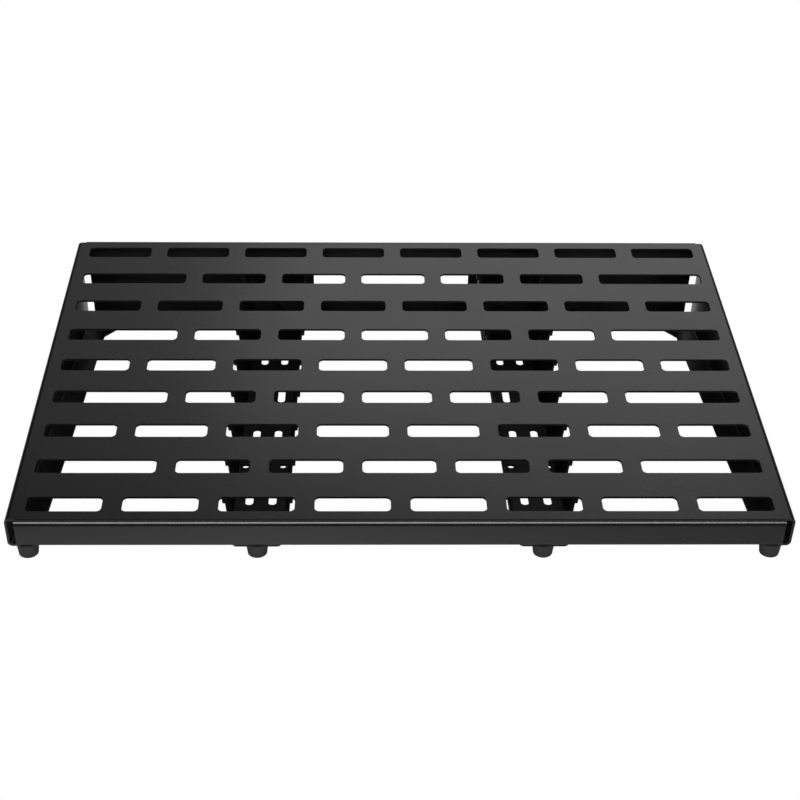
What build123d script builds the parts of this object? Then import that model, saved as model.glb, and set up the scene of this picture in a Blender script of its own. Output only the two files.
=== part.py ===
from build123d import *
import os
from math import cos, radians, sin, tan

# A slanted pedalboard: a folded sheet-metal deck with rows of slots, on two channel rails and eight feet.
# Frame: +X to the player's right, +Y away from the player, +Z up.
# The origin is on the floor, under the middle.

# ---- driving dimensions, in mm ----
DECK_WIDTH = 618.0
DECK_DEPTH = 416.0  # measured up the slope
TILT = radians(8.7)
FRONT_HEIGHT = 38.65  # floor to the front top corner
SHEET = 2.0
BEND = 4.0  # outer radius of every fold of the deck
CORNER_RELIEF = 8.0  # the front and rear walls stop this far inside the side walls
SIDE_SETBACK = 4.0  # the side walls stop this far behind the front and rear faces
LEAF_GAP = 0.3  # between sheets that lie on each other
SIDE_FLANGE = 23.4
FRONT_FLANGE = 20.0
REAR_FLANGE = 24.0
SIDE_PAD = 13.0  # the side flanges are this much wider under the rear corners
SIDE_PAD_START = 378.0  # from the front edge of the deck
SIDE_PAD_SLANT = 20.0

SLOT_LENGTH = 60.1
SLOT_WIDTH = 17.25
SLOT_CORNER = 4.0
SLOT_PITCH = 75.7
ROW_PITCH = 46.5
ROWS = 9
SLOTS_PER_ROW = 8
SHORT_SLOTS = 5  # in every second row, between its two long slots
FIRST_ROW = 22.0  # front edge of the deck to the middle of the first row

WINDOW_WIDTH = 155.0  # cable window in the rear wall
WINDOW_HEIGHT = 32.0
WINDOW_DROP = 42.0  # top edge of the rear wall to the middle of the window
WINDOW_CORNER = 6.0

FOOT_HEIGHT = 11.5
FOOT_RADIUS = 9.0
FOOT_TIP_RADIUS = 7.6
FOOT_EDGE = 2.0
FOOT_RECESS_RADIUS = 4.7
FOOT_RECESS_DEPTH = 6.0
FOOT_INSET = 14.5  # front edge of the deck to the middle of the front feet
FOOT_SPAN = 392.0  # between the front feet and the rear feet
CORNER_FOOT_X = 294.7

SCREW_RADIUS = 2.0
SCREW_CLEARANCE = 0.25
SCREW_HEAD_RADIUS = 3.7
SCREW_HEAD_HEIGHT = 2.4
SCREW_PROUD = 0.9  # thread past the nut
SCREW_TIP = 0.4  # chamfer
DRIVE_RADIUS = 1.2
DRIVE_DEPTH = 1.4
WASHER_RADIUS = 4.4
WASHER_THICKNESS = 1.0
NUT_FLATS = 7.0
NUT_HEIGHT = 3.2

RAIL_X = 113.5
RAIL_HALF_WEB = 23.8
RAIL_FLARE = radians(5.0)
RAIL_BEND = 3.5
RAIL_START = 25.0  # front edge of the deck to the front end of the rail's upright flanges
RAIL_UPRIGHTS = 370.0  # their length
RAIL_TAB_START = 7.0
RAIL_TAB_WIDTH = 39.1
RAIL_LENGTH = 430.0  # twice the distance from the front edge of the deck to the middle of the rail
NOTCH_DEPTH = 23.0
NOTCH_MARGIN = 0.8  # the notches are this much longer than the slots are wide, at each end
NOTCH_CORNER = 4.0
RAIL_CURB = 5.0  # least height of upright flange left under a notch
HEM_DEPTH = 5.5
WEB_SLOT_X = 9.5
WEB_SLOT_WIDTH = 6.6
WEB_SLOT_LENGTH = 50.0
WEB_SLOT_STARTS = (65.0, 140.0)  # from the front edge of the deck; the rear half is the mirror of these
WEB_HOLE_X = 16.0
WEB_HOLE_RADIUS = 3.0
WEB_HOLE_Y = 126.5
FLANGE_HOLE_RISE = (15.0, 37.0)  # above the web, at the front and at the rear

CLEAR = 60.0  # how far cutting shapes run past what they cut

# ---- worked out from the above ----
REAR_HEIGHT = FRONT_HEIGHT + DECK_DEPTH * sin(TILT)
SKY = REAR_HEIGHT + 2 * CLEAR  # a level above every shape before it is cut
WALL_LEVEL = FOOT_HEIGHT + SHEET + LEAF_GAP  # underside of the front and rear flanges, on the others
# how far behind the front top corner's sharp edge the rounded front and the rear wall's foot lie
NEAREST = BEND * (cos(TILT) + sin(TILT) - 1)
REAR_FOLD_HEIGHT = REAR_HEIGHT - WALL_LEVEL - BEND
FARTHEST = DECK_DEPTH * cos(TILT) + REAR_FOLD_HEIGHT * tan(TILT) - BEND / cos(TILT) + BEND
FRONT_Y = -(NEAREST + FARTHEST) / 2
SIDE_LEVEL = FOOT_HEIGHT  # underside of the side flanges and of the rails
NUT_LEVEL = WALL_LEVEL + SHEET
RAIL_UNDER_DECK = SHEET + LEAF_GAP
FOOT_YS = (FRONT_Y + FOOT_INSET, FRONT_Y + FOOT_INSET + FOOT_SPAN)
RAIL_MIDDLE_Y = FRONT_Y + RAIL_LENGTH / 2
HOLE_YS = (FRONT_Y + WEB_HOLE_Y, FRONT_Y + RAIL_LENGTH - WEB_HOLE_Y)
FEET = {
    f"{end}_{place}": (x, y)
    for end, y in zip(("front", "rear"), FOOT_YS)
    for place, x in (
        ("left_corner", -CORNER_FOOT_X),
        ("left_rail", -RAIL_X),
        ("right_rail", RAIL_X),
        ("right_corner", CORNER_FOOT_X),
    )
}


def on_deck(along, below=0.0):
    """(y, z) of a point so far up the slope from the front corner, and so far under the top face."""
    return (
        FRONT_Y + along * cos(TILT) + below * sin(TILT),
        FRONT_HEIGHT + along * sin(TILT) - below * cos(TILT),
    )


def drop(along, level):
    """How far under the deck's top face a horizontal plane lies, measured square to the deck."""
    return (FRONT_HEIGHT + along * sin(TILT) - level) / cos(TILT)


def wedge(front, rear, below, level):
    """Corners of the deck's side profile between two places on the slope and down to a level."""
    return (
        on_deck(front, below),
        on_deck(rear, below),
        on_deck(rear, drop(rear, level)),
        on_deck(front, drop(front, level)),
    )


def row_middle(row):
    return FIRST_ROW + row * ROW_PITCH


def slots_in_row(row):
    """(middle, length) of each slot in a row; every second row is shifted and ends in two long slots."""
    spread = (SLOTS_PER_ROW - 1) / 2
    if row % 2 == 0:
        return [((i - spread) * SLOT_PITCH, SLOT_LENGTH) for i in range(SLOTS_PER_ROW)]
    reach = SHORT_SLOTS // 2
    short = [(i * SLOT_PITCH, SLOT_LENGTH) for i in range(-reach, reach + 1)]
    inner, outer = (reach + 1) * SLOT_PITCH, spread * SLOT_PITCH
    long_middle = (inner + outer) / 2
    long_length = outer - inner + SLOT_LENGTH
    return [(-long_middle, long_length), *short, (long_middle, long_length)]


DECK_PLANE = Plane(origin=(0, *on_deck(0)), x_dir=(1, 0, 0), z_dir=(0, -sin(TILT), cos(TILT)))
REAR_PLANE = Plane(origin=(0, *on_deck(DECK_DEPTH)), x_dir=(-1, 0, 0), z_dir=(0, cos(TILT), sin(TILT)))

os.makedirs("parts", exist_ok=True)


def save(part, name):
    part.label = name
    export_step(part, f"parts/{name}.step")


# ---- the deck: side walls with their flanges, folded down from the top along a run of the slope ----
with BuildPart() as side_cavity:
    with BuildSketch(Plane.YZ):
        with BuildLine():
            Polyline(*wedge(-CLEAR, DECK_DEPTH + CLEAR, SHEET, SIDE_LEVEL + SHEET), close=True)
        make_face()
    extrude(amount=DECK_WIDTH / 2 - SHEET, both=True)
    for wall in side_cavity.faces().group_by(Axis.X)[0], side_cavity.faces().group_by(Axis.X)[-1]:
        folds = wall.edges().sort_by(Axis.Z)
        fillet((folds[0], folds[-1]), BEND - SHEET)

with BuildPart() as sides:
    with BuildSketch(Plane.YZ):
        with BuildLine():
            Polyline(*wedge(SIDE_SETBACK, DECK_DEPTH - SIDE_SETBACK, 0, SIDE_LEVEL), close=True)
        make_face()
    extrude(amount=DECK_WIDTH / 2, both=True)
    for wall in sides.faces().group_by(Axis.X)[0], sides.faces().group_by(Axis.X)[-1]:
        folds = wall.edges().sort_by(Axis.Z)
        fillet((folds[0], folds[-1]), BEND)
    add(side_cavity.part, mode=Mode.SUBTRACT)
    flange_edge = DECK_WIDTH / 2 - SIDE_FLANGE
    pad_edge = flange_edge - SIDE_PAD
    pad_y = FRONT_Y + SIDE_PAD_START
    with BuildSketch(Plane.XY.offset(SIDE_LEVEL - CLEAR)):
        with BuildLine():
            Polyline(
                (0, -DECK_DEPTH),
                (flange_edge, -DECK_DEPTH),
                (flange_edge, pad_y),
                (pad_edge, pad_y + SIDE_PAD_SLANT),
                (pad_edge, DECK_DEPTH),
                (0, DECK_DEPTH),
            )
            mirror(about=Plane.YZ)
        make_face()
    extrude(amount=CLEAR + SHEET, mode=Mode.SUBTRACT)

# ---- the deck: front wall, top and rear wall, a ring of sheet that is then opened underneath ----
with BuildPart() as deck:
    with BuildSketch(Plane.YZ) as ring:
        with BuildLine():
            Polyline(*wedge(0, DECK_DEPTH, 0, WALL_LEVEL), close=True)
        make_face()
        fillet(ring.vertices(), BEND)
        offset(amount=-SHEET, mode=Mode.SUBTRACT)
    extrude(amount=DECK_WIDTH / 2 - CORNER_RELIEF, both=True)
    front_wall_y = on_deck(0, drop(0, WALL_LEVEL))[0]
    rear_wall_y = on_deck(DECK_DEPTH, drop(DECK_DEPTH, WALL_LEVEL))[0]
    open_front = front_wall_y + FRONT_FLANGE
    open_rear = rear_wall_y - REAR_FLANGE
    with BuildSketch(Plane.XY.offset(WALL_LEVEL - SHEET)):
        with Locations((0, (open_front + open_rear) / 2)):
            Rectangle(DECK_WIDTH, open_rear - open_front)
    extrude(amount=2 * SHEET + LEAF_GAP, mode=Mode.SUBTRACT)
    add(sides.part)
    with BuildSketch(DECK_PLANE):
        for row in range(ROWS):
            for middle, length in slots_in_row(row):
                with Locations((middle, row_middle(row))):
                    RectangleRounded(length, SLOT_WIDTH, SLOT_CORNER)
    extrude(amount=-(SHEET + LEAF_GAP), mode=Mode.SUBTRACT)
    with BuildSketch(REAR_PLANE.offset(LEAF_GAP)):
        with Locations((0, -WINDOW_DROP)):
            RectangleRounded(WINDOW_WIDTH, WINDOW_HEIGHT, WINDOW_CORNER)
    extrude(amount=-(SHEET + 2 * LEAF_GAP), mode=Mode.SUBTRACT)
    with BuildSketch(Plane.XY.offset(SIDE_LEVEL - SHEET)):
        with Locations(*FEET.values()):
            Circle(SCREW_RADIUS + SCREW_CLEARANCE)
    extrude(amount=NUT_LEVEL - SIDE_LEVEL + 2 * SHEET, mode=Mode.SUBTRACT)
save(deck.part, "deck")


def rail_profile(swell, floor):
    """Corners of the channel's section, grown sideways by swell and starting at a level."""
    top = REAR_HEIGHT + CLEAR
    lean = tan(RAIL_FLARE)
    low = RAIL_HALF_WEB + (floor - SIDE_LEVEL) * lean + swell
    high = RAIL_HALF_WEB + (top - SIDE_LEVEL) * lean + swell
    return ((-low, floor), (low, floor), (high, top), (-high, top))


# ---- the rails: channels that stand under the deck, notched at each row of slots ----
for side, rail_x in (("left", -RAIL_X), ("right", RAIL_X)):
    section_plane = Plane(origin=(rail_x, FRONT_Y + RAIL_START, 0), x_dir=(1, 0, 0), z_dir=(0, -1, 0))
    wall_width = SHEET / cos(RAIL_FLARE)

    # blocks across the whole rail, where its uprights stand between two notches and reach the deck
    with BuildPart() as bands:
        with BuildSketch(Plane.YZ.offset(rail_x)):
            for row in range(ROWS - 1):
                start = row_middle(row) + SLOT_WIDTH / 2 + NOTCH_MARGIN
                stop = row_middle(row + 1) - SLOT_WIDTH / 2 - NOTCH_MARGIN
                with BuildLine():
                    Polyline(
                        on_deck(start, RAIL_UNDER_DECK),
                        on_deck(stop, RAIL_UNDER_DECK),
                        on_deck(stop, RAIL_UNDER_DECK + HEM_DEPTH),
                        on_deck(start, RAIL_UNDER_DECK + HEM_DEPTH),
                        close=True,
                    )
                make_face()
        extrude(amount=CLEAR, both=True)

    # there the top edge of each upright is folded outwards onto itself
    with BuildPart() as hems:
        with BuildSketch(section_plane) as doubled:
            with BuildLine():
                Polyline(*rail_profile(wall_width, SIDE_LEVEL), close=True)
            make_face()
            with BuildLine():
                Polyline(*rail_profile(-wall_width, SIDE_LEVEL), close=True)
            make_face(mode=Mode.SUBTRACT)
        extrude(amount=-RAIL_UPRIGHTS)
        add(bands.part, mode=Mode.INTERSECT)

    with BuildPart() as rail:
        with BuildSketch(section_plane) as channel:
            with BuildLine():
                Polyline(*rail_profile(0, SIDE_LEVEL), close=True)
            make_face()
            fillet(channel.vertices().group_by(Axis.Y)[0], RAIL_BEND)
        extrude(amount=-RAIL_UPRIGHTS)
        with BuildSketch(section_plane) as hollow:
            with BuildLine():
                Polyline(*rail_profile(-wall_width, SIDE_LEVEL + SHEET), close=True)
            make_face()
            fillet(hollow.vertices().group_by(Axis.Y)[0], RAIL_BEND - SHEET)
        extrude(amount=-RAIL_UPRIGHTS, mode=Mode.SUBTRACT)
        with BuildSketch(Plane.YZ.offset(rail_x)):
            with BuildLine():
                Polyline(*wedge(-CLEAR, DECK_DEPTH + CLEAR, RAIL_UNDER_DECK, SKY), close=True)
            make_face()
        extrude(amount=CLEAR, both=True, mode=Mode.SUBTRACT)
        for row in range(ROWS):
            start = row_middle(row) - SLOT_WIDTH / 2 - NOTCH_MARGIN
            stop = row_middle(row) + SLOT_WIDTH / 2 + NOTCH_MARGIN
            depth = min(NOTCH_DEPTH, drop(start, SIDE_LEVEL + SHEET + RAIL_CURB))
            with BuildSketch(Plane.YZ.offset(rail_x)) as notch:
                with BuildLine():
                    Polyline(
                        on_deck(start),
                        on_deck(stop),
                        on_deck(stop, depth),
                        on_deck(start, depth),
                        close=True,
                    )
                make_face()
                fillet(notch.vertices().sort_by(Axis.Y)[:2], NOTCH_CORNER)
            extrude(amount=CLEAR, both=True, mode=Mode.SUBTRACT)
        add(hems.part)
        with BuildSketch(Plane.XY.offset(SIDE_LEVEL)):
            with Locations((rail_x, RAIL_MIDDLE_Y)):
                RectangleRounded(RAIL_TAB_WIDTH, RAIL_LENGTH - 2 * RAIL_TAB_START, BEND)
        extrude(amount=SHEET)
        with BuildSketch(Plane.XY.offset(SIDE_LEVEL - LEAF_GAP)):
            for start in WEB_SLOT_STARTS:
                off_middle = RAIL_LENGTH / 2 - start - WEB_SLOT_LENGTH / 2
                for y in (RAIL_MIDDLE_Y - off_middle, RAIL_MIDDLE_Y + off_middle):
                    with Locations((rail_x - WEB_SLOT_X, y), (rail_x + WEB_SLOT_X, y)):
                        SlotOverall(WEB_SLOT_LENGTH, WEB_SLOT_WIDTH, rotation=90)
            for y in HOLE_YS:
                with Locations((rail_x - WEB_HOLE_X, y), (rail_x + WEB_HOLE_X, y)):
                    Circle(WEB_HOLE_RADIUS)
            with Locations(*((rail_x, y) for y in FOOT_YS)):
                Circle(SCREW_RADIUS + SCREW_CLEARANCE)
        extrude(amount=SHEET + 2 * LEAF_GAP, mode=Mode.SUBTRACT)
        with BuildSketch(Plane.YZ.offset(rail_x)):
            for y, rise in zip(HOLE_YS, FLANGE_HOLE_RISE):
                with Locations((y, SIDE_LEVEL + rise)):
                    Circle(WEB_HOLE_RADIUS)
        extrude(amount=CLEAR, both=True, mode=Mode.SUBTRACT)
    save(rail.part, f"rail_{side}")

# ---- the feet and what holds them ----
washer_bottom = FOOT_RECESS_DEPTH - WASHER_THICKNESS
head_bottom = washer_bottom - SCREW_HEAD_HEIGHT
screw_top = NUT_LEVEL + NUT_HEIGHT + SCREW_PROUD

for place, (x, y) in FEET.items():
    floor_plane = Plane(origin=(x, y, 0))
    with BuildPart() as foot:
        with BuildSketch(Plane(origin=(x, y, 0), x_dir=(1, 0, 0), z_dir=(0, -1, 0))) as half:
            with BuildLine():
                Polyline(
                    (0, 0),
                    (FOOT_TIP_RADIUS, 0),
                    (FOOT_RADIUS, FOOT_HEIGHT),
                    (0, FOOT_HEIGHT),
                    close=True,
                )
            make_face()
            fillet(half.vertices().group_by(Axis.Y)[0].sort_by(Axis.X)[-1], FOOT_EDGE)
        revolve(axis=Axis((x, y, 0), (0, 0, 1)))
        with BuildSketch(floor_plane):
            Circle(FOOT_RECESS_RADIUS)
        extrude(amount=FOOT_RECESS_DEPTH, mode=Mode.SUBTRACT)
        with BuildSketch(floor_plane):
            Circle(SCREW_RADIUS + SCREW_CLEARANCE)
        extrude(amount=FOOT_HEIGHT, mode=Mode.SUBTRACT)
    save(foot.part, f"foot_{place}")

    with BuildPart() as washer:
        with BuildSketch(floor_plane.offset(washer_bottom)):
            Circle(WASHER_RADIUS)
            Circle(SCREW_RADIUS + SCREW_CLEARANCE, mode=Mode.SUBTRACT)
        extrude(amount=WASHER_THICKNESS)
    save(washer.part, f"washer_{place}")

    with BuildPart() as screw:
        with BuildSketch(floor_plane.offset(head_bottom)):
            Circle(SCREW_HEAD_RADIUS)
        extrude(amount=SCREW_HEAD_HEIGHT)
        fillet(screw.edges().group_by(Axis.Z)[0], SCREW_HEAD_HEIGHT / 2)
        with BuildSketch(floor_plane.offset(head_bottom)):
            RegularPolygon(DRIVE_RADIUS, 6)
        extrude(amount=DRIVE_DEPTH, mode=Mode.SUBTRACT)
        with BuildSketch(floor_plane.offset(washer_bottom)):
            Circle(SCREW_RADIUS)
        extrude(amount=screw_top - washer_bottom)
        chamfer(screw.edges().group_by(Axis.Z)[-1], SCREW_TIP)
    save(screw.part, f"screw_{place}")

    with BuildPart() as nut:
        with BuildSketch(floor_plane.offset(NUT_LEVEL)):
            RegularPolygon(NUT_FLATS / 2, 6, major_radius=False)
            Circle(SCREW_RADIUS, mode=Mode.SUBTRACT)
        extrude(amount=NUT_HEIGHT)
    save(nut.part, f"nut_{place}")
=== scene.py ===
from math import cos, radians, sin

import bpy
from mathutils import Euler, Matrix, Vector


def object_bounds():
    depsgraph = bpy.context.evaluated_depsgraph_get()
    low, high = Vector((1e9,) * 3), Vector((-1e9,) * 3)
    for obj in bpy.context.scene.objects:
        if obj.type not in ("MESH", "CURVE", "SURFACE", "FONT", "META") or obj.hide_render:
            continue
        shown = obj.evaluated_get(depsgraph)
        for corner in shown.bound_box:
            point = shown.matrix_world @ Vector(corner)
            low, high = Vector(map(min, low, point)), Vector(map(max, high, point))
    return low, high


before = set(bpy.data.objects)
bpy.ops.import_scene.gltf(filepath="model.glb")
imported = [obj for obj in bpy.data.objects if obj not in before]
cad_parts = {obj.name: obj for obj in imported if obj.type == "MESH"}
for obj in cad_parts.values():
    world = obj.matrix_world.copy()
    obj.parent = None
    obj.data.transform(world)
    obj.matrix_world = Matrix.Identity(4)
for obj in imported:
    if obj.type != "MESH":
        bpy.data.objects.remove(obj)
CAD_LOW, CAD_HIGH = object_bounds()
CAD_MIDDLE = (CAD_LOW + CAD_HIGH) / 2

# ---- camera: a long lens in front of the board, looking down on it; angles in degrees ----
SENSOR = 36.0  # millimetres, as the lens
LENS = 69.74
SHIFT = 0.027  # the frame lies this part of its width to the right of the lens's middle
VIEW_DOWN = 28.68
VIEW_RIGHT = 0.975
VIEW_ROLL = 0.507
VIEW_DISTANCE = 1.3933
AIM_SIDE = -0.0151  # from the middle of the board
AIM_HEIGHT = 0.0310  # above the floor

# ---- stage, in metres ----
FLOOR_SIDE = 14.0
TABLE_WIDTH = 3.0
TABLE_DEPTH = 2.4
TABLE_GREY = (0.4, 0.4, 0.4, 1.0)
TABLE_GAP = 0.0005  # the table lies this far under the floor that the camera sees
MIRROR_GAP = TABLE_GAP / 2  # and the sheets that the walls mirror lie between the two
TABLE_EDGE = 0.036  # how far the mirrored table reaches in front of the board
GLOW = 0.93  # of the mirrored table in front of the board, where it is brightest
GLOW_X = -0.09  # which is here along the board
GLOW_DIM = 0.40  # at GLOW_FALLOFF from there
GLOW_FALLOFF = 0.45
SIDE_GLOW = 0.6  # of the mirrored table beside and behind the board
ROOM_LIGHT = 0.03
WHITE = (1.0, 1.0, 1.0, 1.0)
BLACK = (0.0, 0.0, 0.0, 1.0)

# ---- lights: turn clockwise from straight behind the board and rise above the floor, in degrees;
# distance and size in metres; power in watts ----
KEY = dict(turn=182, rise=34, away=2.6, width=2.6, height=0.8, power=82.0)
BANK = dict(turn=13, rise=39.5, away=3.0, width=1.75, height=1.3, power=9.5)
DIM_BANK = dict(turn=341, rise=39.5, away=3.0, width=0.9, height=1.3, power=1.5)
OVERHEAD = dict(turn=180, rise=82, away=3.0, width=2.4, height=1.6, power=7.0)
SIDES = dict(rise=22, away=3.0, width=2.4, height=1.2, power=3.5)

# ---- finishes: tones from dark to light, roughness from smooth to rough; shine is how strongly
# a coat mirrors, 0.5 being a common paint ----
DECK_COAT = dict(dark=(0.0045,) * 3, light=(0.006,) * 3, smooth=0.25, rough=0.29, shine=0.5)
# the rail coat's tones are darker than the deck's: painted shade for the parts under the deck
RAIL_COAT_PAINTED_SHADE = dict(dark=(0.0035,) * 3, light=(0.005,) * 3, smooth=0.34, rough=0.42, shine=0.2)
RUBBER = dict(dark=(0.013,) * 3, light=(0.021,) * 3, smooth=0.6, rough=0.75)
BLACK_ZINC = dict(dark=(0.05, 0.05, 0.055), light=(0.09, 0.09, 0.095), smooth=0.28, rough=0.4)
BRIGHT_ZINC = dict(dark=(0.42, 0.42, 0.43), light=(0.60, 0.60, 0.61), smooth=0.22, rough=0.38)

# ---- relief: each bump's strength, and its depth in metres ----
PEBBLES = 0.07
PEEL = 0.04
COAT_DEPTH = 0.0004
GRAIN = 0.25
RUBBER_DEPTH = 0.0003
MARKS = 0.15
STEEL_DEPTH = 0.0001
NOISE_LOW = 0.3  # most of a noise lies between these two
NOISE_HIGH = 0.7

# ---- rounding of edges, in metres and degrees ----
SHEET_EDGE = 0.00035
RUBBER_EDGE = 0.0004
STEEL_EDGE = 0.00015
SHARP_ANGLE = 35
FLAT_ANGLE = 0.5  # faces that turn by less than this are one face
WELD_DISTANCE = 0.000001


# ------------------------------------------------------------------ materials


def new_material(name):
    """A node material; returns it with its node tree and its shader."""
    material = bpy.data.materials.new(name)
    material.use_nodes = True
    return material, material.node_tree, material.node_tree.nodes["Principled BSDF"]


def noise(tree, scale, detail, distortion=0.0):
    """The factor output of a noise laid out in the object's own metres."""
    place = tree.nodes.new("ShaderNodeTexCoord")
    texture = tree.nodes.new("ShaderNodeTexNoise")
    texture.inputs["Scale"].default_value = scale
    texture.inputs["Detail"].default_value = detail
    texture.inputs["Distortion"].default_value = distortion
    tree.links.new(place.outputs["Object"], texture.inputs["Vector"])
    return texture.outputs["Fac"]


def roughen(tree, shader, factor, smooth, rough):
    """Lets a noise lead the roughness from smooth to rough."""
    ramp = tree.nodes.new("ShaderNodeMapRange")
    ramp.inputs["From Min"].default_value = NOISE_LOW
    ramp.inputs["From Max"].default_value = NOISE_HIGH
    ramp.inputs["To Min"].default_value = smooth
    ramp.inputs["To Max"].default_value = rough
    tree.links.new(factor, ramp.inputs["Value"])
    tree.links.new(ramp.outputs["Result"], shader.inputs["Roughness"])


def tint(tree, shader, factor, dark, light):
    """Lets a noise lead the colour from dark to light."""
    ramp = tree.nodes.new("ShaderNodeValToRGB")
    low, high = ramp.color_ramp.elements
    low.position = NOISE_LOW
    low.color = (*dark, 1.0)
    high.position = NOISE_HIGH
    high.color = (*light, 1.0)
    tree.links.new(factor, ramp.inputs["Fac"])
    tree.links.new(ramp.outputs["Color"], shader.inputs["Base Color"])


def relief(tree, shader, depth, *bumps):
    """Adds up bumps, each a (height, strength) pair, and sends the normal to the shader."""
    normal = None
    for height, strength in bumps:
        bump = tree.nodes.new("ShaderNodeBump")
        bump.inputs["Strength"].default_value = strength
        bump.inputs["Distance"].default_value = depth
        tree.links.new(height, bump.inputs["Height"])
        if normal:
            tree.links.new(normal, bump.inputs["Normal"])
        normal = bump.outputs["Normal"]
    tree.links.new(normal, shader.inputs["Normal"])


def powder_coat(name, dark, light, smooth, rough, shine):
    """Satin powder coat: a fine pebbled skin over a faint, wider orange peel."""
    material, tree, shader = new_material(name)
    shader.inputs["Specular IOR Level"].default_value = shine
    pebbles = noise(tree, scale=1500.0, detail=3.0)
    peel = noise(tree, scale=260.0, detail=1.0)
    haze = noise(tree, scale=9.0, detail=3.0, distortion=0.4)
    tint(tree, shader, haze, dark, light)
    roughen(tree, shader, haze, smooth, rough)
    relief(tree, shader, COAT_DEPTH, (pebbles, PEBBLES), (peel, PEEL))
    return material


def rubber(name, dark, light, smooth, rough):
    """Moulded black rubber with a dusty, slightly mottled skin."""
    material, tree, shader = new_material(name)
    grain = noise(tree, scale=2200.0, detail=4.0)
    mottle = noise(tree, scale=120.0, detail=3.0)
    tint(tree, shader, mottle, dark, light)
    roughen(tree, shader, mottle, smooth, rough)
    relief(tree, shader, RUBBER_DEPTH, (grain, GRAIN))
    return material


def plated_steel(name, dark, light, smooth, rough):
    """Zinc plate: metal with cloudy variation and a fine grain."""
    material, tree, shader = new_material(name)
    shader.inputs["Metallic"].default_value = 1.0
    clouds = noise(tree, scale=400.0, detail=3.0, distortion=0.6)
    marks = noise(tree, scale=4000.0, detail=2.0)
    tint(tree, shader, clouds, dark, light)
    roughen(tree, shader, clouds, smooth, rough)
    relief(tree, shader, STEEL_DEPTH, (marks, MARKS))
    return material


# ------------------------------------------------------------------ dressing the CAD nodes


def round_edges(piece, width):
    """Joins the split vertices of a CAD mesh and rounds its sharp edges."""
    weld = piece.modifiers.new("weld", "WELD")
    weld.merge_threshold = WELD_DISTANCE
    flat = piece.modifiers.new("flat", "DECIMATE")
    flat.decimate_type = "DISSOLVE"
    flat.angle_limit = radians(FLAT_ANGLE)
    bevel = piece.modifiers.new("edges", "BEVEL")
    bevel.width = width
    bevel.segments = 2
    bevel.limit_method = "ANGLE"
    bevel.angle_limit = radians(SHARP_ANGLE)
    shade = piece.modifiers.new("shade", "WEIGHTED_NORMAL")
    shade.keep_sharp = True


def dress(prefix, material, edge):
    """Gives the CAD nodes whose names start with the prefix their material and rounded edges."""
    for name, piece in sorted(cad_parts.items()):
        if name.startswith(prefix):
            piece.data.materials.clear()
            piece.data.materials.append(material)
            round_edges(piece, edge)


def dress_board():
    dress("deck", powder_coat("deck_coat", **DECK_COAT), SHEET_EDGE)
    # the rails get the darker coat, a painted shade under the deck
    dress("rail_", powder_coat("rail_coat", **RAIL_COAT_PAINTED_SHADE), SHEET_EDGE)
    dress("foot_", rubber("foot_rubber", **RUBBER), RUBBER_EDGE)
    dress("screw_", plated_steel("screw_steel", **BLACK_ZINC), STEEL_EDGE)
    bright = plated_steel("bright_steel", **BRIGHT_ZINC)
    dress("washer_", bright, STEEL_EDGE)
    dress("nut_", bright, STEEL_EDGE)


# ------------------------------------------------------------------ stage


def plane(name, left, right, front, back, height):
    """A level sheet, linked into the scene."""
    mesh = bpy.data.meshes.new(name)
    corners = [(left, front, height), (right, front, height), (right, back, height), (left, back, height)]
    mesh.from_pydata(corners, [], [(0, 1, 2, 3)])
    sheet = bpy.data.objects.new(name, mesh)
    bpy.context.scene.collection.objects.link(sheet)
    return sheet


def glowing(name, strength=1.0):
    """A black material that gives off white light; returns it with its node tree and its shader."""
    material, tree, shader = new_material(name)
    shader.inputs["Base Color"].default_value = BLACK
    shader.inputs["Emission Color"].default_value = WHITE
    shader.inputs["Emission Strength"].default_value = strength
    return material, tree, shader


def white_floor():
    """What the camera sees under the board, evenly white; it lights nothing."""
    half = FLOOR_SIDE / 2
    floor = plane("floor", -half, half, -half, half, CAD_LOW.z)
    floor.visible_diffuse = False
    floor.visible_glossy = False
    floor.visible_shadow = False
    material, _, shader = glowing("floor_white")
    shader.inputs["Specular IOR Level"].default_value = 0.0
    floor.data.materials.append(material)


def table():
    """A grey table top that the camera doesn't see: it only sends light up at the board."""
    edge = TABLE_WIDTH / 2
    top = plane("table", -edge, edge, CAD_LOW.y, CAD_LOW.y + TABLE_DEPTH, CAD_LOW.z - TABLE_GAP)
    top.visible_camera = False
    material, _, shader = new_material("table_grey")
    shader.inputs["Base Color"].default_value = TABLE_GREY
    shader.inputs["Specular IOR Level"].default_value = 0.0
    top.data.materials.append(material)


def front_glow(front):
    """The lit table before the board, brightest left of the middle."""
    material, tree, shader = glowing("table_glow")
    shader.inputs["Specular IOR Level"].default_value = 0.0
    place = tree.nodes.new("ShaderNodeTexCoord")
    away = tree.nodes.new("ShaderNodeVectorMath")
    away.operation = "DISTANCE"
    away.inputs[1].default_value = (GLOW_X, front, 0.0)
    tree.links.new(place.outputs["Object"], away.inputs[0])
    fade = tree.nodes.new("ShaderNodeMapRange")
    fade.inputs["From Max"].default_value = GLOW_FALLOFF
    fade.inputs["To Min"].default_value = GLOW
    fade.inputs["To Max"].default_value = GLOW_DIM
    tree.links.new(away.outputs["Value"], fade.inputs["Value"])
    tree.links.new(fade.outputs["Result"], shader.inputs["Emission Strength"])
    return material


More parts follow.
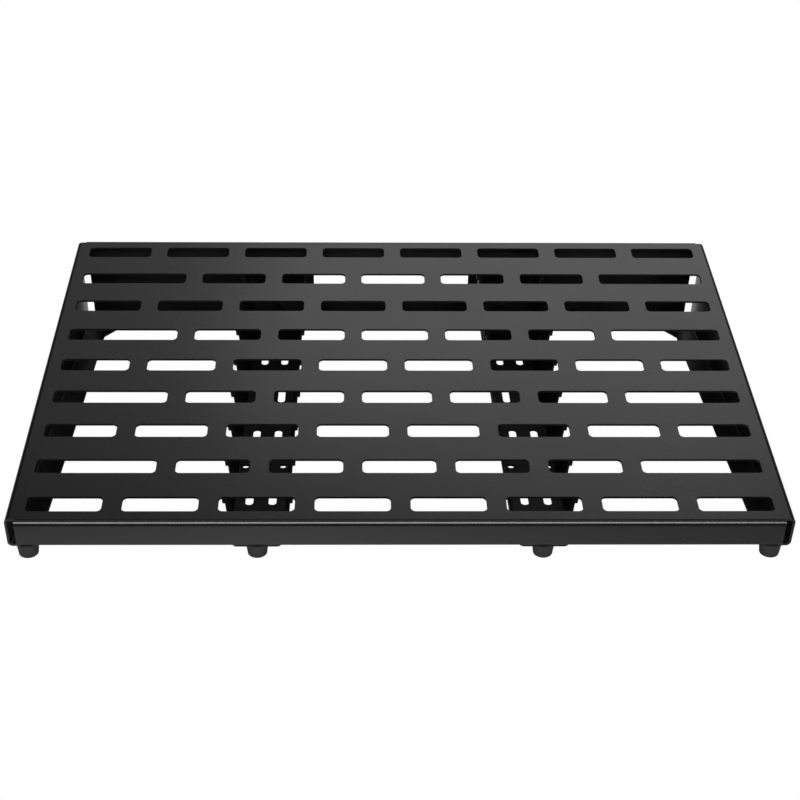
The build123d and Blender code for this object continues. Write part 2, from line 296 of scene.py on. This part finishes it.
def mirrored_table():
    """What the walls of the board mirror: a lit table around it, which lights nothing by itself."""
    edge = TABLE_WIDTH / 2
    front = CAD_LOW.y - TABLE_EDGE
    back = CAD_LOW.y + TABLE_DEPTH
    height = CAD_LOW.z - MIRROR_GAP
    before = plane("table_front", -edge, edge, front, CAD_LOW.y, height)
    left = plane("table_left", -edge, CAD_LOW.x, CAD_LOW.y, back, height)
    right = plane("table_right", CAD_HIGH.x, edge, CAD_LOW.y, back, height)
    behind = plane("table_behind", CAD_LOW.x, CAD_HIGH.x, CAD_HIGH.y, back, height)
    before.data.materials.append(front_glow(front))
    side_glow, _, _ = glowing("table_side_glow", SIDE_GLOW)
    for sheet in (left, right, behind):
        sheet.data.materials.append(side_glow)
    for sheet in (before, left, right, behind):
        sheet.visible_camera = False
        sheet.visible_diffuse = False
        sheet.visible_shadow = False


def room():
    """The camera sees a white room; the board gets a dim even light from it."""
    world = bpy.data.worlds.new("room")
    world.use_nodes = True
    nodes, links = world.node_tree.nodes, world.node_tree.links
    dim = nodes["Background"]
    dim.inputs["Color"].default_value = WHITE
    dim.inputs["Strength"].default_value = ROOM_LIGHT
    bright = nodes.new("ShaderNodeBackground")
    bright.inputs["Color"].default_value = WHITE
    path = nodes.new("ShaderNodeLightPath")
    mix = nodes.new("ShaderNodeMixShader")
    links.new(path.outputs["Is Camera Ray"], mix.inputs["Fac"])
    links.new(dim.outputs["Background"], mix.inputs[1])
    links.new(bright.outputs["Background"], mix.inputs[2])
    links.new(mix.outputs["Shader"], nodes["World Output"].inputs["Surface"])
    bpy.context.scene.world = world


# ------------------------------------------------------------------ light and camera


def soft_light(name, turn, rise, away, width, height, power):
    """A softbox that faces the middle of the board."""
    turn = radians(turn)
    rise = radians(rise)
    way = Vector((sin(turn) * cos(rise), cos(turn) * cos(rise), sin(rise)))
    data = bpy.data.lights.new(name, "AREA")
    data.shape = "RECTANGLE"
    data.size = width
    data.size_y = height
    data.energy = power
    light = bpy.data.objects.new(name, data)
    light.location = CAD_MIDDLE + away * way
    light.rotation_euler = (-way).to_track_quat("-Z", "Y").to_euler()
    bpy.context.scene.collection.objects.link(light)


def lights():
    soft_light("key", **KEY)  # behind the camera: the line of light along the front fold
    soft_light("bank", **BANK)  # behind, to the right: what the top mirrors
    soft_light("dim_bank", **DIM_BANK)  # left of it, where the top is darker
    soft_light("overhead", **OVERHEAD)
    soft_light("left", turn=270, **SIDES)
    soft_light("right", turn=90, **SIDES)


def camera():
    data = bpy.data.cameras.new("camera")
    data.sensor_width = SENSOR
    data.lens = LENS
    data.shift_x = SHIFT
    eye = bpy.data.objects.new("camera", data)
    turn = Euler((radians(90) - radians(VIEW_DOWN), 0, -radians(VIEW_RIGHT))).to_matrix()
    turn = turn @ Euler((0, 0, radians(VIEW_ROLL))).to_matrix()
    aim = Vector((CAD_MIDDLE.x + AIM_SIDE, CAD_MIDDLE.y, CAD_LOW.z + AIM_HEIGHT))
    eye.location = aim + turn @ Vector((0, 0, VIEW_DISTANCE))
    eye.rotation_euler = turn.to_euler()
    bpy.context.scene.collection.objects.link(eye)
    bpy.context.scene.camera = eye


dress_board()
white_floor()
table()
mirrored_table()
room()
lights()
camera()
bpy.context.scene.view_settings.view_transform = "Standard"
